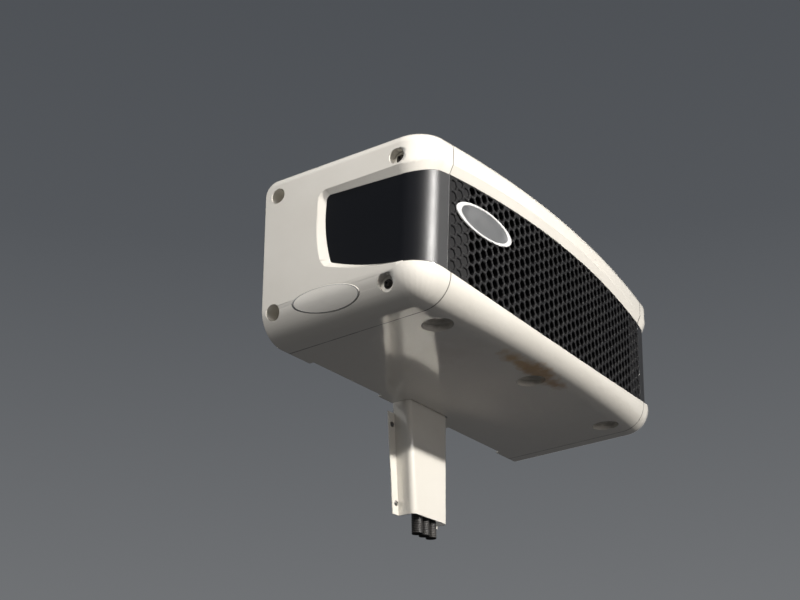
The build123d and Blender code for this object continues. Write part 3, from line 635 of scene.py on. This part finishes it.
def trim_to_opening(thing):
    """Cuts the cell field to the opening's outline, closes its rim and bends it to the front."""
    mesh = bmesh.new()
    mesh.from_mesh(thing.data)
    mark = mesh.verts.layers.float["hole"]
    limits = {}
    for vertex in mesh.verts:
        border = grille_border if vertex[mark] > 0.5 else 0
        high = arch(vertex.co.x, arch_top, -arch_top_drop) - border
        low = arch(vertex.co.x, arch_low, arch_low_rise) + border
        limits[vertex] = (low, high, seam_x - border)

    # What lies wholly past one side goes, and the rest is drawn in to the outline
    outside = []
    for face in mesh.faces:
        plain = all(v[mark] < 0.5 for v in face.verts)
        beyond = [[v.co.z >= limits[v][1] for v in face.verts],
                  [v.co.z <= limits[v][0] for v in face.verts],
                  [abs(v.co.x) >= limits[v][2] for v in face.verts]]
        if plain and any(all(side) for side in beyond):
            outside.append(face)
    bmesh.ops.delete(mesh, geom=outside, context="FACES")
    for vertex in mesh.verts:
        low, high, half = limits[vertex]
        x, y, z = vertex.co
        if not (low < z < high and abs(x) < half):
            vertex.co = (min(max(x, -half), half), max(y, 0), min(max(z, low), high))

    # Faces that this folded onto each other go as well
    folded = {}
    for face in mesh.faces:
        key = frozenset(tuple(round(c, 6) for c in v.co) for v in face.verts)
        folded.setdefault(key, []).append(face)
    doubled = [f for faces in folded.values() if len(faces) > 1 for f in faces]
    bmesh.ops.delete(mesh, geom=doubled, context="FACES")
    bmesh.ops.remove_doubles(mesh, verts=mesh.verts, dist=same_point)

    # The rim is closed between its front edges and the vertices behind them
    behind = {(round(v.co.x, 5), round(v.co.z, 5)): v for v in mesh.verts
              if v.co.y > grille_depth / 2}
    for border_edge in [e for e in mesh.edges if e.is_boundary]:
        ends = [behind.get((round(v.co.x, 5), round(v.co.z, 5))) for v in border_edge.verts
                if v.co.y <= grille_depth / 2]
        if len(ends) == 2 and None not in ends and ends[0] != ends[1]:
            mesh.faces.new((*border_edge.verts, ends[1], ends[0]))
    bmesh.ops.recalc_face_normals(mesh, faces=mesh.faces)
    for vertex in mesh.verts:
        vertex.co.y += front_y(vertex.co.x, vertex.co.z)
    settle(mesh, thing)


trim_to_opening(grille)
join_unit(grille, "honeycomb_grille")

# Oval plate on the grille: a bare grey field in a pale raised rim, moulded in one and pushed on
# to the webs. Nothing is printed on it.
badge_x, badge_z = -405 * mm, 59 * mm
badge_length, badge_height = 235 * mm, 75 * mm
plate_profile = [  # share of the half width, height above the grille in mm
    (1.0, 0.0), (1.0, 2.4), (0.992, 3.4), (0.975, 3.95), (0.87, 3.95), (0.86, 3.7),
    (0.85, 3.2), (0.6, 3.3), (0.3, 3.4), (0.0, 3.4),
]
field_ring = 6  # the ring where the sunk grey field starts
plate_steps = 72
pale_plate = finish(
    "blank_plate", (0.74, 0.74, 0.73), (0.68, 0.68, 0.67), 0.24, 0.05, 0.003, 0.00003,
    film=(0.12, (0.33, 0.3, 0.26)), worn=(0.4, (0.5, 0.5, 0.5)), Coat_Weight=0.4,
    Coat_Roughness=0.1,
)
grey_field = finish(
    "blank_field", (0.2, 0.205, 0.21), (0.17, 0.175, 0.18), 0.34, 0.05, 0.0015, 0.00003,
    film=(0.12, (0.33, 0.3, 0.26)), worn=(0.1, (0.3, 0.3, 0.3)), Metallic=0.5,
    Coat_Weight=0.4, Coat_Roughness=0.1,
)


def plate_point(mesh, share, height, step=0):
    """A vertex of the oval plate, at a share of its half width and a height above the grille."""
    angle = 2 * pi * step / plate_steps
    x = badge_x + share * badge_length / 2 * cos(angle)
    z = badge_z + share * badge_height / 2 * sin(angle)
    return mesh.verts.new((x, front_y(x, z) - height * mm, z))


def loft(mesh, rings, marked=()):
    """Joins rings of vertices, of which the last may be one point, by faces.

    Those of the marked steps get the second material."""
    for step, (near, far) in enumerate(zip(rings, rings[1:])):
        for k in range(len(near)):
            ends = (far[k], far[k - 1]) if len(far) > 1 else far
            mesh.faces.new((near[k - 1], near[k], *ends)).material_index = int(step in marked)


plate_mesh = bmesh.new()
plate_rings = [[plate_point(plate_mesh, share, height, k) for k in range(plate_steps)]
               for share, height in plate_profile[:-1]]
plate_rings.append([plate_point(plate_mesh, *plate_profile[-1])])
loft(plate_mesh, plate_rings, range(field_ring, len(plate_rings)))
loft(plate_mesh, [plate_rings[0], [plate_point(plate_mesh, 0, 0)]])
bmesh.ops.recalc_face_normals(plate_mesh, faces=plate_mesh.faces)
oval_plate = settle(plate_mesh, link("oval_plate_blank"), [pale_plate, grey_field], radians(40))
join_unit(oval_plate, "blank_oval_plate")

# Bare oval film on the left end cap: a thin clear-coated patch laid on the gelcoat near its
# lower rear corner. Nothing is printed on it but a hairline border.
film_y, film_z = -183 * mm, -150 * mm
film_length, film_height = 190 * mm, 60 * mm
film_tilt = radians(-3)
film_lift, film_thickness = 0.15 * mm, 0.1 * mm
film_rings = (1.0, 0.965, 0.94, 0.75, 0.5, 0.25)
hairline_ring = 1  # the ring that shows as the border
film_steps = 64
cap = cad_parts["left_end_cap"].data
cap_tree = BVHTree.FromPolygons([v.co for v in cap.vertices], [p.vertices for p in cap.polygons])
film_material = finish(
    "bare_film", (0.84, 0.81, 0.745), (0.8, 0.77, 0.7), 0.32, 0.05, 0.003, 0.00004,
    film=(0.12, (0.42, 0.37, 0.3)), Coat_Weight=0.3, Coat_Roughness=0.12,
)
border_material = finish(
    "film_border", (0.16, 0.16, 0.17), (0.2, 0.2, 0.21), 0.35, 0.05, 0.003, 0.00003,
    film=(0.1, (0.3, 0.25, 0.19)),
)


def film_point(mesh, share, step=0):
    """A vertex of the film on the cap's skin."""
    angle = 2 * pi * step / film_steps
    along, across = share * film_length / 2 * cos(angle), share * film_height / 2 * sin(angle)
    y = film_y + along * cos(film_tilt) - across * sin(film_tilt)
    z = film_z - along * sin(film_tilt) + across * cos(film_tilt)
    place, normal, _, _ = cap_tree.ray_cast(Vector((-1, y, z)), Vector((1, 0, 0)))
    return mesh.verts.new(place + film_lift * (normal if normal.x < 0 else -normal))


film_mesh = bmesh.new()
film_loops = [[film_point(film_mesh, share, k) for k in range(film_steps)] for share in film_rings]
film_loops.append([film_point(film_mesh, 0)])
loft(film_mesh, film_loops, [hairline_ring])
bmesh.ops.recalc_face_normals(film_mesh, faces=film_mesh.faces)
bare_film = settle(film_mesh, link("bare_oval_film"), [film_material, border_material], radians(60))
film_body = bare_film.modifiers.new("thickness", "SOLIDIFY")
film_body.thickness = film_thickness
film_body.offset = -1
join_unit(bare_film)

# Seam strips: black rubber laid in the narrow gaps between the end caps and the middle pieces,
# flush with the skin and pinched between the two shells.
strip_rubber = finish(
    "seam_strip_rubber", (0.014, 0.014, 0.015), (0.024, 0.023, 0.022), 0.62, 0.08, 0.003, 0.00005,
    film=(0.25, (0.1, 0.09, 0.07)), worn=(0.2, (0.05, 0.05, 0.05)),
)


def seam_strip(name, side):
    """Fills the gap beside a cap with the section of the middle pieces, as wide as the gap."""
    mesh = bmesh.new()
    for piece in ("front_top_beam", "lower_pan"):
        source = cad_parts[piece].data
        corners = {}
        for face in source.polygons:
            ends = [source.vertices[i].co for i in face.vertices]
            if all(abs(co.x - side * seam_x) < 0.01 * mm for co in ends):
                keys = [(round(co.y, 6), round(co.z, 6)) for co in ends]
                for key, co in zip(keys, ends):
                    if key not in corners:
                        corners[key] = mesh.verts.new((side * seam_x, co.y, co.z))
                mesh.faces.new([corners[key] for key in keys])
    grown = bmesh.ops.extrude_face_region(mesh, geom=mesh.faces[:], use_keep_orig=True)
    moved = [item for item in grown["geom"] if isinstance(item, bmesh.types.BMVert)]
    bmesh.ops.translate(mesh, verts=moved, vec=(side * seam_gap, 0, 0))
    bmesh.ops.recalc_face_normals(mesh, faces=mesh.faces)
    join_unit(settle(mesh, link(name), [strip_rubber]))


seam_strip("left_seam_strip", -1)
seam_strip("right_seam_strip", 1)

# Fasteners: dark socket screws on washers in the pockets of the end caps, zinc-plated pan-head
# screws in the flanges of the hose cover, hexagon screws that hold the guards, and rivets in
# the box. Their places and sizes are in mm.
half_width, pocket_floor = 658, 3
pockets = [(-38, 160, 52), (-31, -149, 52), (-386, 157, 24), (-347, -151, 24)]  # Y, Z and depth
flange_y, flange_holes = -2.5, ((109, -275), (95, -486))
fan_x, fan_y, guard_z, guard_rim = 235, -205, 217, 172
rivet_x, rivet_heights = 560, (-150, -75, 0, 75, 150)
zinc = finish(
    "zinc_plated_steel", (0.33, 0.33, 0.32), (0.24, 0.23, 0.22), 0.34, 0.1, 0.002, 0.00003,
    film=(0.55, (0.16, 0.11, 0.07)), worn=(0.5, (0.55, 0.55, 0.54)), patch=0.02, settled=0.2,
    Metallic=1.0,
)
dark_screw = finish(
    "dark_screw", (0.045, 0.045, 0.047), (0.08, 0.075, 0.07), 0.38, 0.1, 0.002, 0.00003,
    film=(0.45, (0.2, 0.15, 0.1)), worn=(0.6, (0.3, 0.3, 0.3)), patch=0.02, settled=0.2,
    Metallic=0.8,
)
SIX = "six flats"


def turned(name, rows, sides=24):
    """A closed body about +Z from rows of radius and height in mm, and SIX for six flats."""
    mesh = bmesh.new()
    loops = []
    for size, height, *flats in rows:
        loop = []
        for k in range(sides):
            angle = 2 * pi * k / sides
            reach = hexagon(angle, size * mm) if flats else size * mm
            loop.append(mesh.verts.new((reach * cos(angle), reach * sin(angle), height * mm)))
        loops.append(loop)
    loft(mesh, loops)
    mesh.faces.new(loops[0][::-1])
    mesh.faces.new(loops[-1])
    return settle(mesh, link(name), smooth_angle=radians(35))


socket_screw = turned("socket_screw", [
    (11.5, 0), (11.5, 1.4), (11, 1.8), (7.2, 1.8),
    (7.2, 7.2), (6.6, 8), (3.1, 8, SIX), (2.9, 4, SIX),
])
pan_screw = turned("pan_screw", [
    (7.5, 0), (7.5, 1), (5.2, 1.1), (5.1, 2.6),
    (3.9, 4), (1.9, 4.2, SIX), (1.7, 2.2, SIX),
])
hex_screw = turned("hex_screw", [
    (8, 0), (8, 1.2), (5, 1.2, SIX), (5, 4.6, SIX), (4.6, 5.2),
])
rivet = turned("rivet", [(4.6, 0), (4.3, 0.8), (2.6, 1.6)], 16)

fastener_tree, fastener = geometry_tree("fasteners", Object=["Fastener"], Int=["Turn Seed"])
facing = put(fastener_tree, "GeometryNodeInputNamedAttribute", {"Name": "facing"},
             data_type="FLOAT_VECTOR")
stand = put(fastener_tree, "FunctionNodeAlignRotationToVector", {"Vector": facing}, axis="Z")
chance = put(fastener_tree, "FunctionNodeRandomValue", {
    2: 0.0, 3: 2 * pi, "Seed": fastener["Turn Seed"]}, 1, data_type="FLOAT")
twist = put(fastener_tree, "FunctionNodeAxisAngleToRotation", {"Axis": (0, 0, 1), "Angle": chance})
pose = put(fastener_tree, "FunctionNodeRotateRotation", {"Rotation": stand, "Rotate By": twist},
           rotation_space="LOCAL")
shape = put(fastener_tree, "GeometryNodeObjectInfo", {"Object": fastener["Fastener"]}, "Geometry")
end_tree(fastener_tree, fastener,
         place_copies(fastener_tree, fastener["Geometry"], shape, Rotation=pose))


def fasten(name, shape, places, material, seed):
    """Sets a fastener at places, rows of point and outward direction, as one piece."""
    points = bpy.data.meshes.new(name)
    points.from_pydata([[c * mm for c in point] for point, _ in places], [], [])
    direction = points.attributes.new("facing", "FLOAT_VECTOR", "POINT")
    direction.data.foreach_set("vector", [c for _, way in places for c in way])
    values = {"Fastener": shape, "Turn Seed": seed, "Material": material}
    join_unit(grow(fastener_tree, name, values, link(name, points)))


pocket_places = [((side * (half_width - depth + pocket_floor), y, z), (side, 0, 0))
                 for side in (-1, 1) for y, z, depth in pockets]
fasten("cap_screws", socket_screw, pocket_places, dark_screw, 1)
flange_places = [((side * x, flange_y, z), (0, -1, 0)) for side in (-1, 1) for x, z in flange_holes]
fasten("hose_cover_screws", pan_screw, flange_places, zinc, 2)
guard_places = [((side * fan_x + guard_rim * cos(turn), fan_y + guard_rim * sin(turn), guard_z),
                 (0, 0, 1)) for side in (-1, 1) for turn in map(radians, (45, 135, 225, 315))]
fasten("guard_screws", hex_screw, guard_places, zinc, 3)
rivet_places = [((side * rivet_x, 0, z), (0, 1, 0)) for side in (-1, 1) for z in rivet_heights]
fasten("frame_rivets", rivet, rivet_places, zinc, 4)
for shape in (socket_screw, pan_screw, hex_screw, rivet):
    bpy.data.objects.remove(shape)

# Condenser coil: thin coated aluminium fins pressed on two rows of copper tube, between
# galvanised tube sheets. The tubes are joined in pairs by bends outside the sheets.
coil_low, coil_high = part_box("condenser_coil")
coil_middle, coil_size = (coil_low + coil_high) / 2, coil_high - coil_low
fin_pitch, fin_thickness = 2.2 * mm, 0.25 * mm
tube_rows_y = (-431 * mm, -409 * mm)
tube_pitch, tube_radius = 25.4 * mm, 4.8 * mm
bend_reach, bend_rooting, bend_steps = 15 * mm, 8 * mm, 5
sheet_thickness = 3 * mm

fin_tree, fin = geometry_tree(
    "fin_pack", Int=["Fins"],
    Float=["Pitch", "Start", "Middle Y", "Middle Z", "Thickness", "Depth", "Height"])
fin_first = xyz(fin_tree, fin["Start"], fin["Middle Y"], fin["Middle Z"])
fin_line = put(fin_tree, "GeometryNodeMeshLine", {
    "Count": fin["Fins"], "Start Location": fin_first,
    "Offset": xyz(fin_tree, fin["Pitch"], 0.0, 0.0),
}, mode="OFFSET")
fin_plate = put(fin_tree, "GeometryNodeMeshCube", {
    "Size": xyz(fin_tree, fin["Thickness"], fin["Depth"], fin["Height"])})
end_tree(fin_tree, fin, place_copies(fin_tree, fin_line, fin_plate))

coated_fins = finish(
    "coated_fins", (0.03, 0.03, 0.032), (0.05, 0.048, 0.046), 0.42, 0.08, 0.003, 0.00003,
    film=(0.5, (0.085, 0.072, 0.055)), worn=(0.2, (0.14, 0.14, 0.14)), patch=0.06, settled=0.1,
    Metallic=0.5,
)
fin_count = int(coil_size.x / fin_pitch)
fins = grow(fin_tree, "coil_fins", {
    "Fins": fin_count, "Pitch": fin_pitch, "Start": -(fin_count - 1) / 2 * fin_pitch,
    "Middle Y": coil_middle.y, "Middle Z": coil_middle.z, "Thickness": fin_thickness,
    "Depth": coil_size.y, "Height": coil_size.z, "Material": coated_fins})
join_unit(fins, "condenser_coil")

wire_tree, wire = geometry_tree(
    "round_wire", Float=["Radius", "Bend Radius"], Int=["Bend Steps", "Sides"])
wire_bent = put(wire_tree, "GeometryNodeFilletCurve", {
    "Curve": put(wire_tree, "GeometryNodeMeshToCurve", {"Mesh": wire["Geometry"]}),
    "Count": wire["Bend Steps"], "Radius": wire["Bend Radius"], "Limit Radius": True,
}, mode="POLY")
wire_round = put(wire_tree, "GeometryNodeCurvePrimitiveCircle", {
    "Resolution": wire["Sides"], "Radius": wire["Radius"]})
wire_skin = put(wire_tree, "GeometryNodeCurveToMesh", {
    "Curve": wire_bent, "Profile Curve": wire_round, "Fill Caps": True})
end_tree(wire_tree, wire, put(wire_tree, "GeometryNodeSetShadeSmooth", {"Geometry": wire_skin}))


def wires(name, runs, radius, material, bend=0.0, sides=10, node=None):
    """Round wires or tubes along runs, each a list of points and whether it closes on itself."""
    lines = bpy.data.meshes.new(name)
    points, links = [], []
    for run, closed in runs:
        first = len(points)
        points.extend(run)
        links.extend((first + k, first + k + 1) for k in range(len(run) - 1))
        if closed:
            links.append((first + len(run) - 1, first))
    lines.from_pydata(points, links, [])
    values = {"Radius": radius, "Bend Radius": bend, "Bend Steps": bend_steps, "Sides": sides,
              "Material": material}
    join_unit(grow(wire_tree, name, values, link(name, lines)), node)


copper = finish(
    "dull_copper", (0.56, 0.25, 0.13), (0.3, 0.13, 0.07), 0.36, 0.1, 0.006, 0.00003,
    film=(0.55, (0.1, 0.06, 0.04)), worn=(0.3, (0.7, 0.34, 0.2)), settled=0.3, Metallic=1.0,
)
tube_count = int(coil_size.z / tube_pitch)
tube_heights = [coil_middle.z + (k - (tube_count - 1) / 2) * tube_pitch for k in range(tube_count)]
for name, side in (("left", -1), ("right", 1)):
    face_x = side * (coil_high.x + sheet_thickness)
    root_x, out_x = face_x - side * bend_rooting, face_x + side * bend_reach
    bends = []
    for y in tube_rows_y:
        for low, high in zip(tube_heights[::2], tube_heights[1::2]):
            bend = [(root_x, y, low), (out_x, y, low), (out_x, y, high), (root_x, y, high)]
            bends.append((bend, False))
    wires(f"{name}_tube_bends", bends, tube_radius, copper,
          tube_pitch / 2 - 0.1 * mm)

# Fan guards: round steel wire with a black coat, rings welded to cross wires over each fan
# outlet. The outer ring is screwed down on the top cover.
wire_radius = 1.5 * mm
guard_rings = (60, 77, 95, 112, 130, 148, guard_rim)
ring_steps, cross_wires = 72, 4
guard_coat = finish(
    "coated_wire", (0.02, 0.02, 0.021), (0.032, 0.031, 0.03), 0.34, 0.06, 0.002, 0.00003,
    film=(0.6, (0.15, 0.13, 0.1)), worn=(0.4, (0.14, 0.13, 0.12)), patch=0.04, settled=0.6,
)


def guard_point(side, reach, angle, lift=0.0):
    """A point over a fan outlet, from its middle outwards."""
    return ((side * fan_x + reach * cos(angle)) * mm, (fan_y + reach * sin(angle)) * mm,
            guard_z * mm + lift)


for name, side in (("left", -1), ("right", 1)):
    runs = [([guard_point(side, reach, 2 * pi * k / ring_steps) for k in range(ring_steps)], True)
            for reach in guard_rings]
    runs += [([guard_point(side, end * guard_rim, pi * k / cross_wires, wire_radius)
               for end in (-1, 1)], False) for k in range(cross_wires)]
    wires(f"{name}_guard_wires", runs, wire_radius, guard_coat, sides=8,
          node=f"{name}_fan_guard")

# Fans, motors and straps. The fans are moulded in black glass-filled plastic on painted
# motors, which hang from two steel straps across each opening of the deck.
dress(finish(
    "fan_plastic", (0.018, 0.018, 0.019), (0.03, 0.029, 0.028), 0.42, 0.08, 0.0018, 0.00006,
    film=(0.6, (0.16, 0.14, 0.11)), worn=(0.4, (0.12, 0.12, 0.12)), settled=0.5,
), "left_condenser_fan", "right_condenser_fan")
dress(finish(
    "motor_paint", (0.03, 0.031, 0.033), (0.045, 0.045, 0.046), 0.38, 0.07, 0.0025, 0.00008,
    film=(0.6, (0.14, 0.12, 0.095)), worn=(0.5, (0.3, 0.28, 0.26)), patch=0.06, settled=0.5,
), "left_fan_motor", "right_fan_motor")
dress(finish(
    "dark_powder_coat", (0.06, 0.061, 0.064), (0.085, 0.084, 0.083), 0.44, 0.07, 0.0012, 0.00007,
    film=(0.45, (0.18, 0.15, 0.11)), worn=(0.5, (0.26, 0.23, 0.2)), patch=0.1, settled=0.4,
), "left_motor_straps", "right_motor_straps", "front_rail", "top_rail", "left_side_frame",
      "right_side_frame", "left_receiver_bracket", "right_receiver_bracket")

# Back plate, fan deck and tube sheets: galvanised sheet with a spangle, screwed and riveted
# together into the box that carries everything. A foam rubber seal runs round the plate.
dress(finish(
    "galvanised_sheet", (0.42, 0.43, 0.44), (0.3, 0.31, 0.32), 0.38, 0.08, 0.004, 0.00003,
    film=(0.38, (0.24, 0.2, 0.15)), worn=(0.4, (0.58, 0.59, 0.6)), patch=0.14, settled=0.2,
    spangle=0.012, Metallic=0.85,
), "back_plate", "fan_deck", "left_tube_sheet", "right_tube_sheet")
seal_rubber = finish(
    "seal_rubber", (0.018, 0.018, 0.018), (0.03, 0.029, 0.028), 0.7, 0.06, 0.0015, 0.00015,
    film=(0.35, (0.14, 0.12, 0.1)), worn=(0.2, (0.03, 0.029, 0.028)),
)
softened("wall_seal", seal_rubber)

# Refrigerant parts and wiring inside: painted receiver and drier, brazed copper pipes, a grey
# plastic electrical box and the black conduit that feeds it.
dress(finish(
    "vessel_paint", (0.025, 0.025, 0.027), (0.04, 0.04, 0.041), 0.3, 0.06, 0.004, 0.00006,
    film=(0.5, (0.14, 0.12, 0.09)), worn=(0.4, (0.2, 0.18, 0.16)), patch=0.08, settled=0.5,
), "receiver_tank")
dress(finish(
    "drier_paint", (0.2, 0.23, 0.26), (0.16, 0.18, 0.2), 0.34, 0.06, 0.004, 0.00005,
    film=(0.45, (0.18, 0.15, 0.11)), worn=(0.4, (0.4, 0.4, 0.4)), patch=0.06, settled=0.5,
), "filter_drier")
dress(finish(
    "box_plastic", (0.32, 0.33, 0.33), (0.27, 0.28, 0.28), 0.44, 0.06, 0.0016, 0.00006,
    film=(0.4, (0.22, 0.18, 0.14)), worn=(0.3, (0.45, 0.45, 0.45)), patch=0.07, settled=0.5,
), "electrical_box")
dress(copper, "discharge_pipe", "condensate_pipe", "liquid_pipe", "drier_pipe")

# Hose ends: three short black corrugated sleeves side by side in the hose cover, each in a
# plated hexagon fitting under the pipes.
sleeve_low, sleeve_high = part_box("middle_hose_end")
sleeve_middle, sleeve_size = (sleeve_low + sleeve_high) / 2, sleeve_high - sleeve_low
rib_pitch, rib_depth, rib_steps = 4.6 * mm, 1.0 * mm, 6
hose_step = 34 * mm
sleeve_sides, sleeve_wall, sleeve_bore = 28, 2.2 * mm, 7 * mm

sleeve_tree, sleeve = geometry_tree(
    "corrugated_sleeve", Int=["Rib Steps", "Sides"],
    Float=["Radius", "Length", "Rib Pitch", "Rib Depth", "Middle X", "Middle Y", "Middle Z"])
sleeve_calc = partial(calc, sleeve_tree)
ribs = sleeve_calc("DIVIDE", sleeve["Length"], sleeve["Rib Pitch"])
tube = put(sleeve_tree, "GeometryNodeMeshCylinder", {
    "Vertices": sleeve["Sides"], "Radius": sleeve["Radius"], "Depth": sleeve["Length"],
    "Side Segments": sleeve_calc("MULTIPLY", ribs, sleeve["Rib Steps"])})
x, y, z = point_axes(sleeve_tree)
rib = sleeve_calc("DIVIDE", z, sleeve["Rib Pitch"])
wave = sleeve_calc("SINE", sleeve_calc("MULTIPLY", rib, 2 * pi))
dip = sleeve_calc("MULTIPLY", sleeve_calc("SUBTRACT", wave, 1.0),
                  sleeve_calc("MULTIPLY", sleeve["Rib Depth"], 0.5))
factor = sleeve_calc("ADD", sleeve_calc("DIVIDE", dip, sleeve["Radius"]), 1.0)
ridged = xyz(sleeve_tree, sleeve_calc("MULTIPLY_ADD", x, factor, sleeve["Middle X"]),
             sleeve_calc("MULTIPLY_ADD", y, factor, sleeve["Middle Y"]),
             sleeve_calc("ADD", z, sleeve["Middle Z"]))
end_tree(sleeve_tree, sleeve,
         put(sleeve_tree, "GeometryNodeSetPosition", {"Geometry": tube, "Position": ridged}))

sleeve_rubber = finish(
    "sleeve_rubber", (0.014, 0.014, 0.015), (0.024, 0.023, 0.022), 0.46, 0.08, 0.002, 0.00006,
    film=(0.4, (0.12, 0.1, 0.08)), worn=(0.3, (0.07, 0.07, 0.07)),
)
dress(sleeve_rubber, "wiring_conduit")
nut_low, nut_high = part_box("middle_hose_fitting")
nut_flat = (nut_high.y - nut_low.y) / 2 / mm
nut_rows = [  # share of the half width over flats, height in mm
    (0.96, 0), (0.98, 2), (1, 3, SIX), (1, 17, SIX), (0.94, 18.5),
    (0.8, 19), (0.8, 22), (0.86, 22.5, SIX), (0.86, 29, SIX), (0.82, 30),
]
for name, x in (("left", -hose_step), ("middle", 0), ("right", hose_step)):
    hose = grow(sleeve_tree, f"{name}_sleeve", {
        "Radius": sleeve_size.x / 2, "Length": sleeve_size.z, "Rib Pitch": rib_pitch,
        "Rib Depth": rib_depth, "Rib Steps": rib_steps, "Sides": sleeve_sides, "Middle X": x,
        "Middle Y": sleeve_middle.y, "Middle Z": sleeve_middle.z, "Material": sleeve_rubber})
    end_mesh = bmesh.new()
    end_mesh.from_mesh(hose.data)
    end_face = min(end_mesh.faces, key=lambda f: f.calc_center_median().z)
    bmesh.ops.inset_region(end_mesh, faces=[end_face], thickness=sleeve_wall)
    bmesh.ops.translate(end_mesh, verts=end_face.verts, vec=(0, 0, sleeve_bore))
    settle(end_mesh, hose, [sleeve_rubber], radians(60))
    join_unit(hose, f"{name}_hose_end")
    rows = [(share * nut_flat, *rest) for share, *rest in nut_rows]
    nut = turned(f"{name}_hose_nut", rows, 36)
    nut.data.transform(Matrix.Translation((x, sleeve_middle.y, nut_low.z)))
    nut.data.materials.append(zinc)
    join_unit(nut, f"{name}_hose_fitting")
